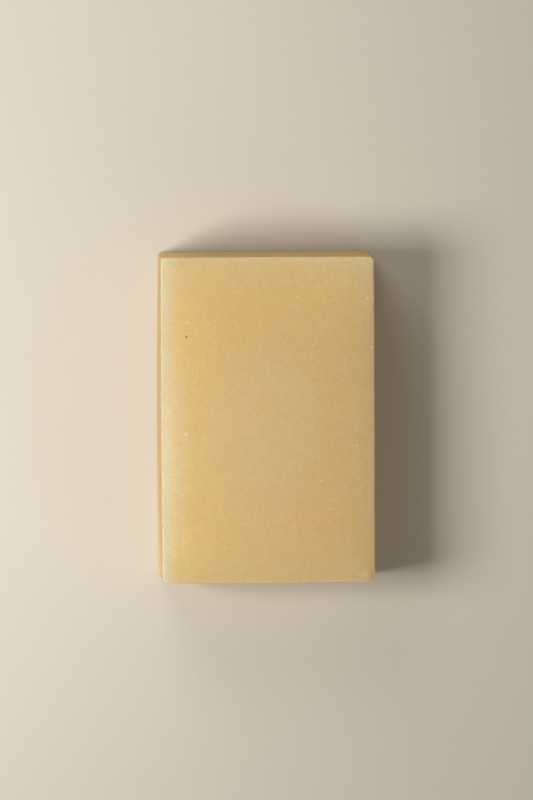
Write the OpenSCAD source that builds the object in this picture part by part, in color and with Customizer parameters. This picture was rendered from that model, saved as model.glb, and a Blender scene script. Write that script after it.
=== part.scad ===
// A bar of soap, cut by hand from a loaf. It lies on one of its two broad cut faces.
// X runs across the bar, Y along it and Z up. The left long side is at -X and the back
// end at +Y. The origin is under the middle of the bar, on the surface that carries it.

/* [Bar] */
// Length of the top face, from the front end to the back end
bar_length = 85; // [70:0.5:110]
// Width of the top face, from one long side to the other
bar_width = 55.3; // [45:0.1:75]
// Thickness of the slice
bar_height = 25; // [16:0.5:40]

/* [Hand cut] */
// How far the base stands out past the top on the left, at the back end
left_out_back = 0.1; // [-2:0.1:3]
// How far the base stands out past the top on the left, at the front end
left_out_front = 0.8; // [-2:0.1:3]
// How far the base stands out past the top on the right, at the back end
right_out_back = 1.2; // [-2:0.1:3]
// How far the base stands out past the top on the right, at the front end
right_out_front = 1; // [-2:0.1:3]
// How far the base stands out past the top at the back end, on the left
back_out_left = 0.2; // [-2:0.1:3]
// How far the base stands out past the top at the back end, on the right
back_out_right = 0.4; // [-2:0.1:3]
// How far the base stands out past the top at the front end, on the left
front_out_left = 0.8; // [-2:0.1:3]
// How far the base stands out past the top at the front end, on the right
front_out_right = 0.8; // [-2:0.1:3]
// How much further the back end reaches on the left than on the right
end_skew = 0.1; // [0:0.1:2]
// Outward bow of the left long side at its middle
left_bow = 0.2; // [0:0.05:1]
// Outward bow of the right long side at its middle
right_bow = 0.05; // [0:0.05:1]
// Outward bow of each end at its middle
end_bow = 0.05; // [0:0.05:1]

/* [Edges] */
// Radius of the edge round the top face
top_edge_r = 0.4; // [0.2:0.1:1.5]
// Radius of the edge round the underside
base_edge_r = 0.6; // [0.2:0.1:1.5]
// Radius of the back left upright corner at the top
back_left_top_r = 0.5; // [0.3:0.1:8]
// Radius of the back right upright corner at the top
back_right_top_r = 0.6; // [0.3:0.1:8]
// Radius of the front right upright corner at the top
front_right_top_r = 1; // [0.3:0.1:8]
// Radius of the front left upright corner at the top
front_left_top_r = 0.9; // [0.3:0.1:8]
// Radius of the back left upright corner at the base
back_left_base_r = 0.7; // [0.3:0.1:8]
// Radius of the back right upright corner at the base
back_right_base_r = 1.5; // [0.3:0.1:8]
// Radius of the front right upright corner at the base
front_right_base_r = 1.6; // [0.3:0.1:8]
// Radius of the front left upright corner at the base
front_left_base_r = 1.7; // [0.3:0.1:8]

/* [Hidden] */

soap_colour = [0.84, 0.72, 0.50];

// Steps round each upright corner, along each side, round each edge and up the sides
corner_steps = 8;
side_steps = 10;
edge_steps = 5;
rise_steps = 4;

// The least radius that a corner keeps where an edge rounds off above or below it
least_r = 0.1;

// The corners in order round the bar: back right, back left, front left, front right
corner_signs = [[1, 1], [-1, 1], [-1, -1], [1, -1]];
top_corner_r = [back_right_top_r, back_left_top_r, front_left_top_r, front_right_top_r];
base_corner_r = [back_right_base_r, back_left_base_r, front_left_base_r, front_right_base_r];

// How far each corner of the base lies from the same corner of the top face
corner_shift = [
    [right_out_back, back_out_right],
    [-left_out_back, back_out_left],
    [-left_out_front, -front_out_left],
    [right_out_front, -front_out_right]
];

function mix(a, b, share) = a + (b - a) * share;

// Share of the height, from 0 at the base to 1 at the top
function height_share(z) = z / bar_height;

// Radius of a corner at height z, on a section taken in by inset
function corner_r(i, z, inset) =
    max(mix(base_corner_r[i], top_corner_r[i], height_share(z)) - inset, least_r);

// One corner's arc, as points that run anticlockwise seen from above
function corner_arc(i, z, inset) =
    let (
        r = corner_r(i, z, inset),
        middle = [
            corner_signs[i][0] * (bar_width / 2 - inset - r),
            corner_signs[i][1] * (bar_length / 2 - inset - r)
        ]
    )
    [
        for (k = [0 : corner_steps])
            let (angle = 90 * (i + k / corner_steps))
            middle + r * [cos(angle), sin(angle)]
    ];

// The points between the end of one arc and the start of the next
function side_run(from, to) = [for (k = [1 : side_steps - 1]) mix(from, to, k / side_steps)];

// A rectangle with rounded corners: the section before the cut's own errors are added
function true_section(z, inset) =
    let (arcs = [for (i = [0 : 3]) corner_arc(i, z, inset)])
    [
        for (i = [0 : 3])
            each concat(
                arcs[i],
                side_run(arcs[i][corner_steps], arcs[(i + 1) % 4][0])
            )
    ];

// A corner's part in the shift of a point, by how near to that corner the point lies
function corner_part(i, across, along) =
    (1 + corner_signs[i][0] * across) * (1 + corner_signs[i][1] * along) / 4;

// Flare, bow and skew of the hand cut, applied to one point of the section at height z
function as_cut(p, z) =
    let (
        across = 2 * p[0] / bar_width,
        along = 2 * p[1] / bar_length,
        parts = [for (i = [0 : 3]) corner_part(i, across, along)],
        flare = (1 - height_share(z)) * (parts * corner_shift),
        side_bow = across < 0 ? left_bow : right_bow,
        bow = [
            side_bow * across * (1 - along * along),
            end_bow * along * (1 - across * across)
        ],
        skew = [0, -end_skew / 2 * across * (1 + along) / 2]
    )
    p + flare + bow + skew;

// Heights of the sections, each with how far the rounded edge takes it in
base_levels = [
    for (k = [0 : edge_steps])
        let (angle = 90 * k / edge_steps)
        [base_edge_r * (1 - cos(angle)), base_edge_r * (1 - sin(angle))]
];
rise_levels = [
    for (k = [1 : rise_steps - 1])
        [mix(base_edge_r, bar_height - top_edge_r, k / rise_steps), 0]
];
top_levels = [
    for (k = [edge_steps : -1 : 0])
        let (angle = 90 * k / edge_steps)
        [bar_height - top_edge_r * (1 - cos(angle)), top_edge_r * (1 - sin(angle))]
];
levels = concat(base_levels, rise_levels, top_levels);

// The sections as they were cut, each a ring of points
cut_rings = [
    for (level = levels)
        [for (p = true_section(level[0], level[1])) as_cut(p, level[0])]
];

// The middle of the bar's bounding box, which goes over the origin
all_x = [for (ring = cut_rings, p = ring) p[0]];
all_y = [for (ring = cut_rings, p = ring) p[1]];
middle = [(min(all_x) + max(all_x)) / 2, (min(all_y) + max(all_y)) / 2];

// The same rings in their places, in three dimensions
bar_rings = [
    for (j = [0 : len(levels) - 1])
        [for (p = cut_rings[j]) [p[0] - middle[0], p[1] - middle[1], levels[j][0]]]
];

// A closed skin through rings that all have the same number of points
module loft(rings) {
    count = len(rings[0]);
    last = len(rings) - 1;
    skin = [
        for (j = [0 : last - 1], k = [0 : count - 1])
            let (
                next = (k + 1) % count,
                a = j * count + k,
                b = j * count + next,
                c = (j + 1) * count + next,
                d = (j + 1) * count + k
            )
            each [[a, d, c], [a, c, b]]
    ];
    floor_cap = [for (k = [0 : count - 1]) k];
    top_cap = [for (k = [count - 1 : -1 : 0]) last * count + k];
    polyhedron(points = [for (ring = rings) each ring], faces = concat([floor_cap], skin, [top_cap]));
}

// The whole bar, which is one solid piece of soap
module soap_bar() {
    color(soap_colour)
        loft(bar_rings);
}

soap_bar();
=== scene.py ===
"""A bar of cream yellow soap, cut by hand from a loaf, dressed for rendering.

The shape repeats the sections of the CAD part on a finer mesh, with the soft relief of a
cut and handled bar. Lengths are in millimetres until the mesh is made, in metres. The left
long side is at -X and the back end at +Y.
"""

import math
from types import SimpleNamespace

import bpy
import numpy as np
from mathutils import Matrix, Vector, noise


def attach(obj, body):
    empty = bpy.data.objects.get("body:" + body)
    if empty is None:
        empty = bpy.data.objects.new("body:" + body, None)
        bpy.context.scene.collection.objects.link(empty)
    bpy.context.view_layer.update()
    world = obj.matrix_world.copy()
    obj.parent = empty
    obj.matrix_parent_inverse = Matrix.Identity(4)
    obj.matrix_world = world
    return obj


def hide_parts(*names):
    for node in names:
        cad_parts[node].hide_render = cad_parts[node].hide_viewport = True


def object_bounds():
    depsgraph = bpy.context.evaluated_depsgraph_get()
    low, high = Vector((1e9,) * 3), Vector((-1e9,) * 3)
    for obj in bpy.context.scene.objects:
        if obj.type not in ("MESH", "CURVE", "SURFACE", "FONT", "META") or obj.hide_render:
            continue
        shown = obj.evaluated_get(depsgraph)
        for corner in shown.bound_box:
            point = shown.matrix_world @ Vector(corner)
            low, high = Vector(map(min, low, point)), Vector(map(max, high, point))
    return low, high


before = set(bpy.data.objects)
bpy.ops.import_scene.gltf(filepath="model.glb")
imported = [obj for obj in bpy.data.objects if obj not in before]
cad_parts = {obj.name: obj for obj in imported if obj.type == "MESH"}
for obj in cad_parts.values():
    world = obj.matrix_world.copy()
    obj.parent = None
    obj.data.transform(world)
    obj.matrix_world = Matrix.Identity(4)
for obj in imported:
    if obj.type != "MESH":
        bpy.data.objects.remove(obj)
cad_bounds = [list(corner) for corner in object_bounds()]

MM = 0.001

# The CAD part's box, which nothing here goes outside
CAD_LOW, CAD_HIGH = np.array(cad_bounds) / MM

# The bar, with the values that the CAD part is made from
LENGTH, WIDTH, HEIGHT = 85.0, 55.3, 25.0
TOP_EDGE_R, BASE_EDGE_R = 0.4, 0.6
END_SKEW = 0.1
LEFT_BOW, RIGHT_BOW, END_BOW = 0.2, 0.05, 0.05

# Corners in order round the bar: back right, back left, front left, front right
CORNER_SIGNS = np.array([(1, 1), (-1, 1), (-1, -1), (1, -1)])
TOP_CORNER_R = (0.6, 0.5, 0.9, 1.0)
BASE_CORNER_R = (1.5, 0.7, 1.7, 1.6)
CORNER_SHIFT = np.array([(1.2, 0.4), (-0.1, 0.2), (-0.8, -0.8), (1.0, -0.8)])
LEAST_R = 0.1

# How much rounder than the CAD part the corners of the top face are worn
CORNER_WEAR = (0.55, 0.1, 0.1, 0.45)

# Slow waves: their height, and the sizes of the long and the short ones
WAVE_DEPTH, LONG_WAVE, SHORT_WAVE = 0.03, 19, 5
# Worn arrises: how deep, how far inwards, and the size of the worn places
ARRIS_WEAR, ARRIS_REACH, WORN_SIZE = 0.09, 0.5, 3.2
# Sunken borders of the top face: how deep, how far inwards, and how far down the walls
BORDER_DEPTH, BORDER_REACH, BORDER_FADE = 0.14, 5, 4
# The foot, where waves and wear fade out towards the floor
FOOT_FADE = 1.2

# How finely the mesh is divided
HALF_ARC = 4
END_CELLS, SIDE_CELLS, RISE_CELLS, EDGE_CELLS = 80, 124, 34, 5


def corner_arc(i, z, inset):
    """One corner's arc on the section at height z, as points that run anticlockwise."""
    share = z / HEIGHT
    top_r = TOP_CORNER_R[i] + CORNER_WEAR[i]
    r = max(BASE_CORNER_R[i] + (top_r - BASE_CORNER_R[i]) * share - inset, LEAST_R)
    middle = CORNER_SIGNS[i] * (WIDTH / 2 - inset - r, LENGTH / 2 - inset - r)
    angle = np.radians(90 * (i + np.linspace(0, 1, 2 * HALF_ARC + 1)))
    return middle + r * np.stack([np.cos(angle), np.sin(angle)], 1)


def as_cut(p, z):
    """Adds the flare, bow and skew of the hand cut to the points of the section at z."""
    across, along = 2 * p[:, 0] / WIDTH, 2 * p[:, 1] / LENGTH
    flare = sum(
        ((1 + sx * across) * (1 + sy * along) / 4)[:, None] * shift
        for (sx, sy), shift in zip(CORNER_SIGNS, CORNER_SHIFT)
    ) * (1 - z / HEIGHT)
    bow_x = np.where(across < 0, LEFT_BOW, RIGHT_BOW) * across * (1 - along**2)
    bow_y = END_BOW * along * (1 - across**2)
    skew = -END_SKEW / 2 * across * (1 + along) / 2
    return p + flare + np.stack([bow_x, bow_y + skew], 1)


def section(z, inset):
    """A closed ring at height z, taken in by inset. It starts at the middle of an arc."""
    arcs = [corner_arc(i, z, inset) for i in range(4)]
    runs = []
    for i, cells in enumerate((END_CELLS, SIDE_CELLS, END_CELLS, SIDE_CELLS)):
        arc, next_arc = arcs[i], arcs[(i + 1) % 4]
        shares = np.arange(1, cells)[:, None] / cells
        side = arc[-1] + (next_arc[0] - arc[-1]) * shares
        runs += [arc[HALF_ARC:], side, next_arc[:HALF_ARC]]
    return as_cut(np.concatenate(runs), z)


def levels():
    """Heights of the rings, each with how far a rounded edge takes it in."""
    turn = np.radians(np.linspace(0, 90, EDGE_CELLS + 1))
    in_from_face = 1 - np.cos(turn)
    in_from_side = 1 - np.sin(turn)
    base = list(zip(BASE_EDGE_R * in_from_face, BASE_EDGE_R * in_from_side))
    top = list(zip(HEIGHT - TOP_EDGE_R * in_from_face, TOP_EDGE_R * in_from_side))
    rise = np.linspace(BASE_EDGE_R, HEIGHT - TOP_EDGE_R, RISE_CELLS + 1)[1:-1]
    return base + [(z, 0.0) for z in rise] + top[::-1]


def cap(ring, z, first_ring, first_free, upward):
    """Fills a ring with a grid of quads. Returns the new points and the faces."""
    nu, nv = END_CELLS + 2 * HALF_ARC, SIDE_CELLS + 2 * HALF_ARC
    count = len(ring)
    start = [0, nu, nu + nv, 2 * nu + nv]
    front = (start[2] + np.arange(nu + 1)) % count
    right = (start[3] + np.arange(nv + 1)) % count
    back = (start[0] + nu - np.arange(nu + 1)) % count
    left = (start[1] + nv - np.arange(nv + 1)) % count
    u = np.linspace(0, 1, nu + 1)[:, None, None]
    v = np.linspace(0, 1, nv + 1)[None, :, None]
    low, high, west, east = (ring[k] for k in (front, back, left, right))
    grid = (
        (1 - v) * low[:, None] + v * high[:, None] + (1 - u) * west[None] + u * east[None]
        - (1 - u) * (1 - v) * low[0] - u * (1 - v) * low[-1]
        - (1 - u) * v * high[0] - u * v * high[-1]
    )
    index = np.empty((nu + 1, nv + 1), int)
    index[1:-1, 1:-1] = first_free + np.arange((nu - 1) * (nv - 1)).reshape(nu - 1, nv - 1)
    index[:, 0], index[:, -1] = first_ring + front, first_ring + back
    index[0, :], index[-1, :] = first_ring + left, first_ring + right
    inner = grid[1:-1, 1:-1].reshape(-1, 2)
    points = np.column_stack([inner, np.full(len(inner), z)])
    corners = [index[:-1, :-1], index[1:, :-1], index[1:, 1:], index[:-1, 1:]]
    if not upward:
        corners = corners[::-1]
    return points, np.stack([c.ravel() for c in corners], 1)


def bar_mesh():
    """Points and quads of the bar, its box's middle over the origin, and the shift for that."""
    steps = levels()
    rings = [section(z, inset) for z, inset in steps]
    count = len(rings[0])
    skin_points = np.concatenate(
        [np.column_stack([ring, np.full(count, z)]) for ring, (z, _) in zip(rings, steps)]
    )
    j, k = np.meshgrid(np.arange(len(rings) - 1), np.arange(count), indexing="ij")
    a, b = j * count + k, j * count + (k + 1) % count
    skin = np.stack([a, b, b + count, a + count], -1).reshape(-1, 4)
    base_points, base = cap(rings[0], 0.0, 0, len(skin_points), False)
    free = len(skin_points) + len(base_points)
    top_points, top = cap(rings[-1], HEIGHT, (len(rings) - 1) * count, free, True)
    points = np.concatenate([skin_points, base_points, top_points])
    middle = (skin_points.min(0) + skin_points.max(0))[:2] / 2
    points[:, :2] -= middle
    return points, np.concatenate([skin, base, top]), middle


# How far apart the noises of two seeds lie
SEED_STEP = (17.3, 5.9, 11.1)


def field(points, size, seed):
    """Smooth noise from -1 to 1 with features of about the given size in millimetres."""
    offset = Vector([seed * step for step in SEED_STEP])
    return np.array([noise.noise(Vector(p) / size + offset) for p in points])


def smooth_step(value, low, high):
    """0 up to low and 1 from high on, with a smooth rise between them."""
    t = np.clip((value - low) / (high - low), 0, 1)
    return t * t * (3 - 2 * t)


points, quads, MIDDLE = bar_mesh()

# Outer lines of the top face, for measuring how far a point is from its edges
TOP_LEFT, TOP_RIGHT = -WIDTH / 2 - MIDDLE[0], WIDTH / 2 - MIDDLE[0]
TOP_FRONT, TOP_BACK = -LENGTH / 2 - MIDDLE[1], LENGTH / 2 - MIDDLE[1]


def new_object(name, points, faces):
    mesh = bpy.data.meshes.new(name)
    mesh.from_pydata(points.tolist(), [], faces.tolist())
    mesh.update()
    mesh.shade_smooth()
    obj = bpy.data.objects.new(name, mesh)
    bpy.context.scene.collection.objects.link(obj)
    return obj


def with_relief(points, normals):
    """The points with the slow waves, worn edges and sunken borders of a real bar."""
    x, y, z = points.T
    off_side = np.minimum(x - TOP_LEFT, TOP_RIGHT - x)
    off_end = np.minimum(y - TOP_FRONT, TOP_BACK - y)
    off_face = np.minimum(z, HEIGHT - z)

    # Near an edge two of the three distances are small, so the middle one tells how near
    near = np.sort(np.stack([off_side, off_end, off_face]).clip(0), axis=0)[1]
    waves = WAVE_DEPTH * (field(points, LONG_WAVE, 1) + 0.25 * field(points, SHORT_WAVE, 2))
    worn_here = smooth_step(field(points, WORN_SIZE, 3), -0.1, 0.7)
    wear = ARRIS_WEAR * np.exp(-((near / ARRIS_REACH) ** 2)) * worn_here
    off_floor = smooth_step(z, 0.0, FOOT_FADE)
    moved = points + normals * ((waves - wear) * off_floor)[:, None]

    # The top face sinks a little towards the right, the front and the back
    border = np.minimum(TOP_RIGHT - x, off_end).clip(0, BORDER_REACH) / BORDER_REACH
    sunken = BORDER_DEPTH * (1 - border) ** 2 + WAVE_DEPTH
    moved[:, 2] -= sunken * smooth_step(z, HEIGHT - BORDER_FADE, HEIGHT)
    return moved.clip(CAD_LOW, CAD_HIGH)


bar = new_object("soap_bar_body", points * MM, quads)
normals = np.empty(len(points) * 3)
bar.data.vertices.foreach_get("normal", normals)
points = with_relief(points, normals.reshape(-1, 3))
bar.data.vertices.foreach_set("co", (points * MM).ravel())
bar.data.update()


def linear(r, g, b):
    """A colour for Blender from the 0 to 255 values that a screen shows."""
    def one(c):
        c /= 255
        return c / 12.92 if c <= 0.04045 else ((c + 0.055) / 1.055) ** 2.4
    return (one(r), one(g), one(b), 1.0)


# Plain noise nodes seldom leave this range
NOISE_LOW, NOISE_HIGH = 0.3, 0.7


class Tree:
    """Short calls that add nodes to a material. Inputs are sockets or plain values."""

    def __init__(self, name):
        self.material = bpy.data.materials.new(name)
        self.material.use_nodes = True
        self.nodes = self.material.node_tree.nodes
        self.links = self.material.node_tree.links
        self.shader = self.nodes["Principled BSDF"]

    def put(self, socket, value):
        if isinstance(value, bpy.types.NodeSocket):
            self.links.new(value, socket)
        else:
            socket.default_value = value

    def node(self, kind, inputs=(), **settings):
        made = self.nodes.new(kind)
        for key, value in settings.items():
            setattr(made, key, value)
        for key, value in dict(inputs).items():
            self.put(made.inputs[key], value)
        return made

    def math(self, operation, a, b=None, clamp=False):
        inputs = {0: a} if b is None else {0: a, 1: b}
        return self.node("ShaderNodeMath", inputs, operation=operation, use_clamp=clamp).outputs[0]

    def product(self, *values):
        made = values[0]
        for value in values[1:]:
            made = self.math("MULTIPLY", made, value)
        return made

    def total(self, *values):
        made = values[0]
        for value in values[1:]:
            made = self.math("ADD", made, value)
        return made

    def most(self, *values):
        made = values[0]
        for value in values[1:]:
            made = self.math("MAXIMUM", made, value)
        return made

    def ramp(self, value, low, high, to_low=0.0, to_high=1.0, smooth=True):
        return self.node(
            "ShaderNodeMapRange",
            {"Value": value, "From Min": low, "From Max": high, "To Min": to_low, "To Max": to_high},
            interpolation_type="SMOOTHSTEP" if smooth else "LINEAR",
        ).outputs["Result"]

    def vector(self, operation, a, b=None, scale=None):
        made = self.node("ShaderNodeVectorMath", {0: a}, operation=operation)
        if b is not None:
            self.put(made.inputs[1], b)
        if scale is not None:
            self.put(made.inputs["Scale"], scale)
        return made.outputs["Value" if operation in ("DISTANCE", "LENGTH") else "Vector"]

    def axes(self, vector):
        parts = self.node("ShaderNodeSeparateXYZ", {0: vector}).outputs
        return parts["X"], parts["Y"], parts["Z"]

    def noise(self, where, scale, detail=2.0, roughness=0.5):
        return self.node(
            "ShaderNodeTexNoise",
            {"Vector": where, "Scale": scale, "Detail": detail, "Roughness": roughness},
        ).outputs["Fac"]

    def noise_between(self, to_low, to_high, where, scale, detail, roughness=0.5):
        """Noise that is stretched to reach both of the given values."""
        plain = self.noise(where, scale, detail, roughness)
        return self.ramp(plain, NOISE_LOW, NOISE_HIGH, to_low, to_high, smooth=False)

    def mix(self, share, a, b):
        made = self.node("ShaderNodeMix", data_type="RGBA")
        self.put(made.inputs["Factor"], share)
        self.put(made.inputs["A"], a)
        self.put(made.inputs["B"], b)
        return made.outputs["Result"]

    def scaled(self, colour, value, amounts):
        """The colour times 1 plus value times the amounts for red, green and blue."""
        inputs = {0: value, 1: amounts, 2: (1.0, 1.0, 1.0)}
        factor = self.node("ShaderNodeVectorMath", inputs, operation="MULTIPLY_ADD").outputs["Vector"]
        return self.vector("MULTIPLY", colour, factor)

    def fading(self, distance, reach):
        """1 at no distance, falling to about a third at the reach."""
        share = self.math("DIVIDE", self.product(distance, -1.0), reach)
        return self.math("EXPONENT", share, clamp=True)

    def near(self, edge_distance, reach):
        """The same for a distance that is below 0 past the edge, where this stays at 1."""
        return self.fading(self.most(edge_distance, 0.0), reach)

    def spot(self, where, centre, size):
        """1 at the centre, falling to about a third at size, which has a value for each axis."""
        away = self.vector("DIVIDE", self.vector("SUBTRACT", where, centre), size)
        away = self.vector("LENGTH", away)
        return self.math("EXPONENT", self.product(away, away, -1.0))


# Colours of the top face: the ground, the core of the loaf and the rims, dried and pale at the back
# and left, and at the front and right dried and partly painted shade
GROUND, CORE = linear(211, 180, 123), linear(209, 181, 129)
FRONT_RIM_AND_SHADE, RIGHT_RIM_AND_SHADE = linear(202, 179, 131), linear(193, 172, 128)
BACK_RIM, LEFT_RIM = linear(204, 192, 150), linear(229, 229, 196)

# Colours of the walls: the left one and the back one deepened with painted shade, and the back one's
# left end lighter with painted light
WALL, LEFT_WALL = linear(206, 174, 118), linear(187, 153, 100)
BACK_WALL_LEFT, BACK_WALL = linear(222, 184, 124), linear(202, 164, 104)
PALE_FOOT = linear(224, 210, 174)

# Colours of the small marks
SMUDGE, PALE_SPECK, DARK_SPECK = linear(208, 194, 162), linear(238, 225, 194), linear(40, 22, 6)

# The slightly greyer core is a lozenge with rounded sides: its middle, half its width, and how
# far it reaches to the front and to the back
CORE_MIDDLE = (-1.1, 1.6, 0.0)
CORE_HALF_WIDTH, CORE_TO_FRONT, CORE_TO_BACK = 14.6, 30.3, 18.8
# A power of 1 would give it straight sides, and 2 would make it an ellipse
CORE_POWER = 1.6
# How far its border is blurred each way, as a share of its reach
CORE_BLUR = 0.28

# About half the width of the top face, for what changes from side to side
HALF_TOP = 27.0

# Painted shade: how much darker the top face is at its right edge than in the middle, standing in for
# light that falls off away from the lamp on the left
PAINTED_SHADE_RIGHT = 0.051

# How far the rims reach inwards: dried, and at the front and right partly painted shade
FRONT_RIM_REACH, RIGHT_RIM_REACH, BACK_RIM_REACH = 4.2, 3.3, 3.4

# A size so great that a spot hardly changes along that axis
NO_LIMIT = 400.0

# Soft patches of the top face: centre and size in millimetres, and how far they change
# red, green and blue
PATCHES = [
    # Golden round the dark grain
    ((-23.0, 23.3), (6.0, 9.0), (0.03, 0.03, -0.02)),
    # A deeper cream over the back left quarter
    ((-12.0, 26.0), (20.0, 14.0), (-0.02, -0.04, -0.05)),
    # Warmer towards the back right, and pale in that corner
    ((17.0, 35.0), (14.0, 9.0), (0.05, 0.03, -0.01)),
    ((28.0, 36.0), (8.0, 8.0), (0.03, 0.05, 0.08)),
    # Warm along the middle of the left rim, and lighter at its front end
    ((-28.0, -4.0), (3.0, 16.0), (0.09, 0.035, 0.02)),
    ((-23.0, -36.0), (7.0, 11.0), (0.03, 0.04, -0.01)),
    # A peach tinge in front of the middle
    ((12.0, -26.0), (15.0, 9.0), (0.02, -0.01, -0.03)),
    # The front left corner is paler, the right rim near the front duller, and its corner amber
    ((-26.6, -39.5), (1.6, 2.2), (0.02, 0.0, 0.08)),
    ((28.0, -33.0), (2.5, 9.0), (-0.05, -0.05, -0.07)),
    ((27.4, -42.2), (2.0, 2.8), (-0.10, -0.28, -0.45)),
]
# Their size downwards, which hardly matters, because they only show on the top face
PATCH_DEPTH = 20.0

# Mottling: the noise's scale, detail and roughness, and how far it changes red, green and
# blue. The slowest is mostly in the yellowness, and the finest is the grain of the cut face
MOTTLING = [
    (0.25, 3.0, 0.7, (0.010, 0.018, 0.060)),
    (1.3, 2.0, 0.7, (0.038, 0.050, 0.082)),
    (3.2, 1.0, 0.5, (0.018, 0.027, 0.052)),
]

# The whitish smudge by the front right corner
SMUDGE_MIDDLE, SMUDGE_SIZE = (24.8, -40.5, HEIGHT), (1.0, 0.75, 2.0)

# Pale specks on the top face: x and y in millimetres, radius, and how much they show
SPECKS = [
    (-21.2, 25.8, 0.42, 0.28), (-21.6, -3.2, 0.38, 0.50), (3.4, -0.2, 0.23, 0.36),
    (13.6, -15.7, 0.26, 0.60), (22.9, -6.4, 0.23, 0.42), (11.7, 19.7, 0.27, 0.30),
    (11.3, 11.9, 0.33, 0.24), (12.1, 14.1, 0.20, 0.24), (6.4, -27.4, 0.23, 0.45),
    (15.8, -23.1, 0.33, 0.27), (16.6, -20.8, 0.23, 0.24), (17.4, -23.1, 0.23, 0.24),
    (23.5, -15.1, 0.23, 0.27), (7.8, 32.3, 0.27, 0.24), (13.1, 34.8, 0.23, 0.24),
    (25.8, 31.9, 0.36, 0.36), (4.1, -14.4, 0.33, 0.15), (21.0, -31.0, 0.23, 0.21),
    (-11.5, -32.7, 0.33, 0.21), (-8.0, 9.5, 0.26, 0.15), (18.5, -3.1, 0.33, 0.12),
    (-9.0, -25.1, 0.26, 0.15), (26.8, 19.0, 0.33, 0.42), (8.2, -30.3, 0.20, 0.21),
]
# Dark specks on the top face, in the same form. The first two are one long grain
DARK_SPECKS = [
    (-21.36, 22.24, 0.20, 1.0), (-21.36, 22.03, 0.16, 1.0), (-8.2, 39.5, 0.16, 0.4),
    (8.1, -28.7, 0.22, 0.15),
]
# How far the specks' edges are blurred, in radii
PALE_SOFTNESS, DARK_SOFTNESS = 0.7, 0.35


def places(t):
    """Where a point is, in millimetres: its coordinates, and how far inside each edge of the top
    face it lies. The drifts and the wandering keep the zones from having ruled borders."""
    coords = t.node("ShaderNodeTexCoord").outputs["Object"]
    p = t.vector("SCALE", coords, scale=1 / MM)
    x, y, z = t.axes(p)
    drift = t.noise_between(-1.0, 1.0, p, 0.16, 3.0)
    fine_drift = t.noise_between(-1.0, 1.0, p, 0.7, 2.0)
    return SimpleNamespace(
        p=p, x=x, y=y, z=z,
        left=t.math("SUBTRACT", x, TOP_LEFT),
        right=t.math("SUBTRACT", TOP_RIGHT, x),
        front=t.math("SUBTRACT", y, TOP_FRONT),
        back=t.math("SUBTRACT", TOP_BACK, y),
        drift=drift,
        fine_drift=fine_drift,
        wander=t.total(t.product(drift, 0.3), t.product(fine_drift, 0.12)),
    )


def core_share(t, at):
    """How deep a point lies in the core of the loaf, from 0 outside it to 1."""
    off_x, off_y, _ = t.axes(t.vector("ABSOLUTE", t.vector("SUBTRACT", at.p, CORE_MIDDLE)))

    # Its length in front gives way to its length behind within a narrow step at the middle
    middle_y = CORE_MIDDLE[1]
    half_length = t.ramp(
        at.y, middle_y - 0.1, middle_y + 0.1, CORE_TO_FRONT, CORE_TO_BACK, smooth=False
    )
    part_x = t.math("POWER", t.math("DIVIDE", off_x, CORE_HALF_WIDTH), CORE_POWER)
    part_y = t.math("POWER", t.math("DIVIDE", off_y, half_length), CORE_POWER)

    # The outline lies where the reach is 1, with a soft and ragged border
    reach = t.math("POWER", t.total(part_x, part_y), 1 / CORE_POWER)
    ragged = t.total(reach, t.product(at.drift, 0.1), t.product(at.fine_drift, 0.04))
    return t.ramp(ragged, 1.0 + CORE_BLUR, 1.0 - CORE_BLUR)


def top_colour(t, at):
    """The cut face: ground and core, the rims, dried and partly painted shade, palest along the left,
    painted shade towards the right and close to the edges, and the patches.
    """
    colour = t.mix(core_share(t, at), GROUND, CORE)
    # Painted shade, darker towards the right
    colour = t.scaled(colour, t.math("DIVIDE", at.x, HALF_TOP), (-PAINTED_SHADE_RIGHT,) * 3)

    def rim(edge_distance, reach, tint, share=1.0, wandering=at.wander):
        distance = t.total(t.most(edge_distance, 0.0), wandering)
        return t.mix(t.product(t.fading(distance, reach), share), colour, tint)

    # The front rim: dried, and partly painted shade
    colour = rim(at.front, FRONT_RIM_REACH, FRONT_RIM_AND_SHADE)

    # The right rim, dried and partly painted shade, is weaker towards the front, and the back one
    # weaker on the left, where painted shade also dulls it close to its edge
    right_share = t.product(t.ramp(at.y, -5.0, 30.0, 0.8, 1.0), t.ramp(at.y, -42.0, -24.0, 0.6, 1.0))
    colour = rim(at.right, RIGHT_RIM_REACH, RIGHT_RIM_AND_SHADE, right_share)
    back_share = t.ramp(at.x, -HALF_TOP, HALF_TOP, 0.4, 1.0, smooth=False)
    colour = rim(at.back, BACK_RIM_REACH, BACK_RIM, back_share)
    # Painted shade close to the back edge, fading out towards the right
    back_edge_painted_shade = t.product(t.near(at.back, 1.2), t.ramp(at.x, -HALF_TOP, 10.0, 1.0, 0.0))
    colour = t.scaled(colour, back_edge_painted_shade, (-0.12, -0.07, 0.0))

    # The left rim is widest a little in front of the middle, and narrowest at its front end
    wide_part = t.spot(at.p, (0.0, -11.0, HEIGHT), (NO_LIMIT, 21.6, NO_LIMIT))
    left_reach = t.total(t.product(wide_part, 0.8), t.ramp(at.y, -38.0, -28.0, 1.5, 1.85))
    colour = rim(at.left, left_reach, LEFT_RIM, wandering=t.product(at.wander, 0.4))

    # Close to the left and right edges painted shade darkens the rims again
    colour = t.scaled(colour, t.near(at.left, 1.34), (-0.26, -0.285, -0.21))
    colour = t.scaled(colour, t.near(at.right, 0.6), (-0.10, -0.12, -0.12))

    for centre, size, amounts in PATCHES:
        patch = t.spot(at.p, (*centre, HEIGHT), (*size, PATCH_DEPTH))
        colour = t.scaled(colour, patch, amounts)
    return colour


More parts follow.
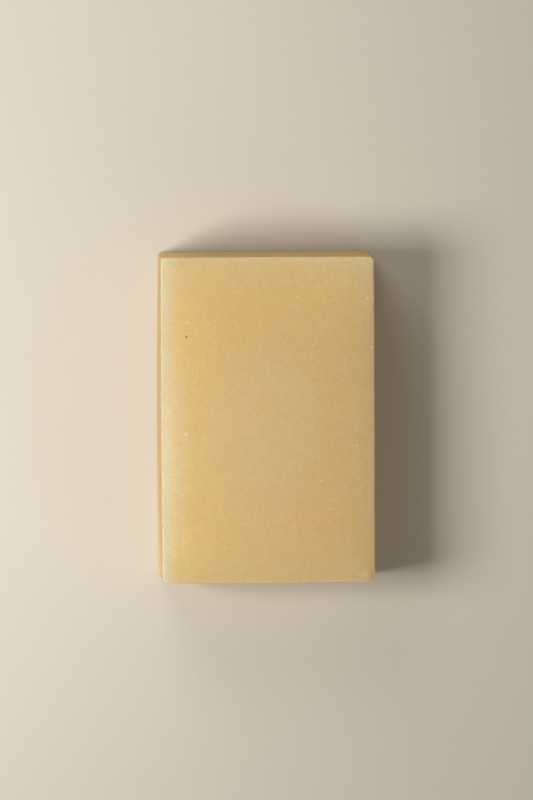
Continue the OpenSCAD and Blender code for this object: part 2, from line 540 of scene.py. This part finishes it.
def wall_colour(t, at):
    """The walls: deeper with painted shade on the left and behind, apart from the left end of the
    back wall, which is lighter with painted light, and pale at the foot, most of all towards the
    front left."""
    # Painted shade deepens the back wall and the left wall, and painted light lightens the back
    # wall's left end
    behind = t.mix(t.ramp(at.x, -28.5, -14.0), BACK_WALL_LEFT, BACK_WALL)
    wall = t.mix(t.ramp(at.back, 0.0, 3.0), behind, WALL)
    wall = t.mix(t.ramp(at.left, 0.1, 0.8), LEFT_WALL, wall)

    # A narrow pale line by the floor runs all round
    wall = t.scaled(wall, t.fading(at.z, 0.9), (0.10, 0.13, 0.18))

    # The pale foot grows higher and stronger towards the front, and is weak off the left wall
    reach = t.total(t.ramp(at.y, 5.0, -34.0, 3.0, 7.5), t.ramp(at.y, -31.0, -38.0, 0.0, 4.0))
    share = t.product(t.ramp(at.y, 5.0, -34.0, 0.1, 1.0), t.ramp(at.x, -26.0, -20.0, 1.0, 0.15))
    foot = t.product(t.fading(t.total(at.z, at.wander), reach), share)
    return t.mix(foot, wall, PALE_FOOT)


def with_painted_arris_glow_and_shade(t, at, colour):
    """Painted light and shade on the top arrises: a painted glow makes them paler on the right and
    hardly so in front, and painted shade makes them duller on the left.
    """
    high = t.ramp(at.z, HEIGHT - 1.2, HEIGHT - 0.3)
    for edge_distance, share, amounts in (
        (at.right, 1.0, (0.30, 0.20, 0.12)),
        (at.front, t.ramp(at.x, -22.0, 20.0, 0.8, 0.1), (0.10, 0.03, -0.04)),
        (at.left, 1.0, (-0.15, -0.17, -0.25)),
    ):
        arris = t.product(t.near(edge_distance, 0.3), high, share)
        colour = t.scaled(colour, arris, amounts)
    return colour


def with_mottling(t, at, colour):
    """The mottling and grain that run all through the soap."""
    for scale, detail, roughness, amounts in MOTTLING:
        mottling = t.noise_between(-1.0, 1.0, at.p, scale, detail, roughness)
        colour = t.scaled(colour, mottling, amounts)
    return colour


def with_smudge(t, at, colour):
    """The whitish smudge, uneven like a touch of powder."""
    uneven = t.ramp(at.fine_drift, -1.0, 0.6, 0.4, 0.75)
    smudge = t.product(t.spot(at.p, SMUDGE_MIDDLE, SMUDGE_SIZE), uneven)
    return t.mix(smudge, colour, SMUDGE)


def speck_mask(t, where, specks, softness):
    """How much a speck shows at a point, and 0 between the specks."""
    masks = []
    for x, y, radius, strength in specks:
        away = t.vector("DISTANCE", where, (x, y, HEIGHT))
        outer, inner = radius * (1 + softness), radius * (1 - softness)
        masks.append(t.ramp(away, outer, inner, 0.0, strength))
    return t.most(*masks)


def soap_material():
    t = Tree("soap")
    at = places(t)

    # The walls' colour goes over into the top face's on the rounded arris
    on_top = t.ramp(at.z, HEIGHT - 0.45, HEIGHT - 0.1)
    colour = t.mix(on_top, wall_colour(t, at), top_colour(t, at))
    colour = with_painted_arris_glow_and_shade(t, at, colour)
    colour = with_mottling(t, at, colour)
    colour = with_smudge(t, at, colour)
    pales = speck_mask(t, at.p, SPECKS, PALE_SOFTNESS)
    darks = speck_mask(t, at.p, DARK_SPECKS, DARK_SOFTNESS)
    colour = t.mix(pales, colour, PALE_SPECK)
    colour = t.mix(darks, colour, DARK_SPECK)

    # A dull, slightly uneven surface
    inputs = t.shader.inputs
    t.put(inputs["Base Color"], colour)
    t.put(inputs["Roughness"], t.noise_between(0.7, 0.8, at.p, 0.5, 3.0))
    t.put(inputs["IOR"], 1.45)
    t.put(inputs["Specular IOR Level"], 0.16)

    # Light spreads inside the soap, but not in the dark grains
    t.put(inputs["Subsurface Weight"], t.math("SUBTRACT", 1.0, darks))
    t.put(inputs["Subsurface Radius"], (1.0, 0.72, 0.5))
    t.put(inputs["Subsurface Scale"], 2.2 * MM)

    # The grain of the cut, with raised pale specks and sunken dark ones
    height = t.total(t.noise(at.p, 2.6, 3.0, 0.6), t.product(t.noise(at.p, 0.9, 2.0), 0.8))
    height = t.total(height, t.product(pales, 0.5))
    height = t.math("SUBTRACT", height, t.product(darks, 2.0))
    bump = t.node("ShaderNodeBump", {"Height": height, "Strength": 0.35, "Distance": 0.03 * MM})
    t.put(inputs["Normal"], bump.outputs["Normal"])
    return t.material


bar.data.materials.append(soap_material())
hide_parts("soap_bar")
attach(bar, "root")

# The floor, which is seen paler than the warm light that it throws back onto the bar
FLOOR_HALF = 3.0
FLOOR_SEEN, FLOOR_BOUNCE = linear(206, 196, 180), linear(186, 163, 134)

floor_corners = FLOOR_HALF * np.array([(-1, -1, 0), (1, -1, 0), (1, 1, 0), (-1, 1, 0)])
floor = new_object("floor", floor_corners, np.array([(0, 1, 2, 3)]))
paper = Tree("floor")
rays = paper.node("ShaderNodeLightPath").outputs
shown = paper.most(rays["Is Camera Ray"], rays["Is Glossy Ray"], rays["Is Transmission Ray"])
paper.put(paper.shader.inputs["Base Color"], paper.mix(shown, FLOOR_BOUNCE, FLOOR_SEEN))
paper.put(paper.shader.inputs["Roughness"], 0.9)
floor.data.materials.append(paper.material)


# The point in the bar that the lamps face
LAMP_AIM = Vector((0, 0, 0.02))


def soft_lamp(name, place, size, energy):
    """A rectangular lamp that faces the bar. Place and size are in metres, energy in watts."""
    lamp = bpy.data.lights.new(name, "AREA")
    lamp.shape = "RECTANGLE"
    lamp.size, lamp.size_y = size
    lamp.energy = energy
    obj = bpy.data.objects.new(name, lamp)
    obj.location = place
    obj.visible_camera = False
    obj.rotation_euler = (LAMP_AIM - Vector(place)).to_track_quat("-Z", "Y").to_euler()
    bpy.context.scene.collection.objects.link(obj)


# A soft lamp close by on the left, a weaker one behind, a far low one that fills the shaded
# sides and hardly reaches the flat surfaces, and an even fill from all round
soft_lamp("key", (-0.245, -0.02, 0.29), (0.14, 0.17), 1.34)
soft_lamp("back", (-0.13, 0.30, 0.22), (0.20, 0.20), 0.42)
soft_lamp("low_fill", (0.90, -0.80, 0.12), (0.70, 0.20), 5.8)

world = bpy.data.worlds.new("fill")
world.use_nodes = True
world.node_tree.nodes["Background"].inputs["Color"].default_value = (1, 1, 1, 1)
world.node_tree.nodes["Background"].inputs["Strength"].default_value = 0.18
bpy.context.scene.world = world

# The camera, almost straight above
lens = bpy.data.cameras.new("camera")
lens.lens, lens.sensor_width = 200, 36
lens.clip_start, lens.clip_end = 0.05, 10
camera = bpy.data.objects.new("camera", lens)
camera.location = (-0.0589, 0.0951, 1.1752)
camera.rotation_euler = [math.radians(angle) for angle in (-4.433, -2.920, -0.258)]
bpy.context.scene.collection.objects.link(camera)
bpy.context.scene.camera = camera

bpy.context.scene.view_settings.view_transform = "Standard"
